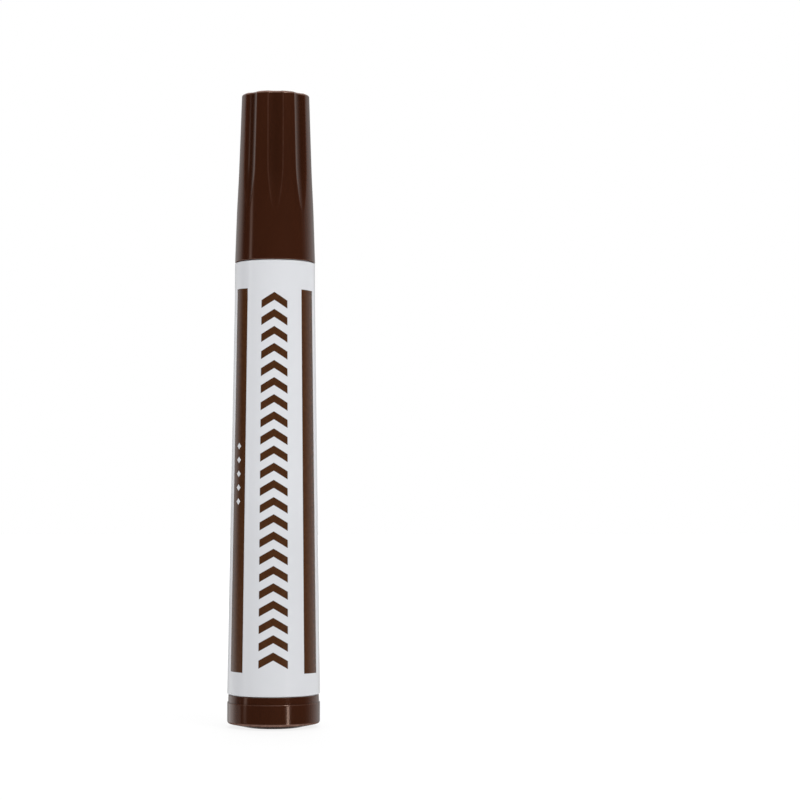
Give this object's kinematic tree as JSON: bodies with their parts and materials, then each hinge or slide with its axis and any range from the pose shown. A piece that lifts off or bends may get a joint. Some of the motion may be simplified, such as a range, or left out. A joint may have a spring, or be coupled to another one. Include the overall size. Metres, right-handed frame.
{
  "type": "furniture touch-up pen",
  "caption": "Furniture touch-up marker pen: tapered white barrel with brown stripes, fluted brown pull-off cap, felt bullet nib, fibre ink reservoir and press-in tail plug.",
  "frame": {"origin": "centre of the tail plug's flat end, on which the pen stands", "axes": "+Z along the pen's axis from the tail plug to the cap, -Y towards the printed front"},
  "size_m": [0.0176, 0.0176, 0.12],
  "materials": {
    "brown_plastic": "moulded dark brown plastic, semi-gloss",
    "white_plastic": "moulded white plastic, semi-gloss",
    "printed_film": "glossy white film with brown print",
    "reservoir_fibre": "ink-soaked polyester fibre",
    "clear_film": "thin clear film",
    "nib_felt": "ink-soaked felt",
    "natural_plastic": "unpigmented moulded plastic, matt"
  },
  "bodies": {
    "pen": {"tail_plug": "brown_plastic", "barrel": "white_plastic", "label_sleeve": "printed_film", "ink_reservoir": "reservoir_fibre", "reservoir_wrap": "clear_film", "nib_holder": "white_plastic", "nib": "nib_felt"},
    "cap": {"cap": "brown_plastic", "cap_liner": "natural_plastic"}
  },
  "joints": [
    {"name": "cap_pull", "type": "slide", "parent": "pen", "child": "cap", "axis": [0, 0, 1], "range_m": [0, 0.04]}
  ]
}
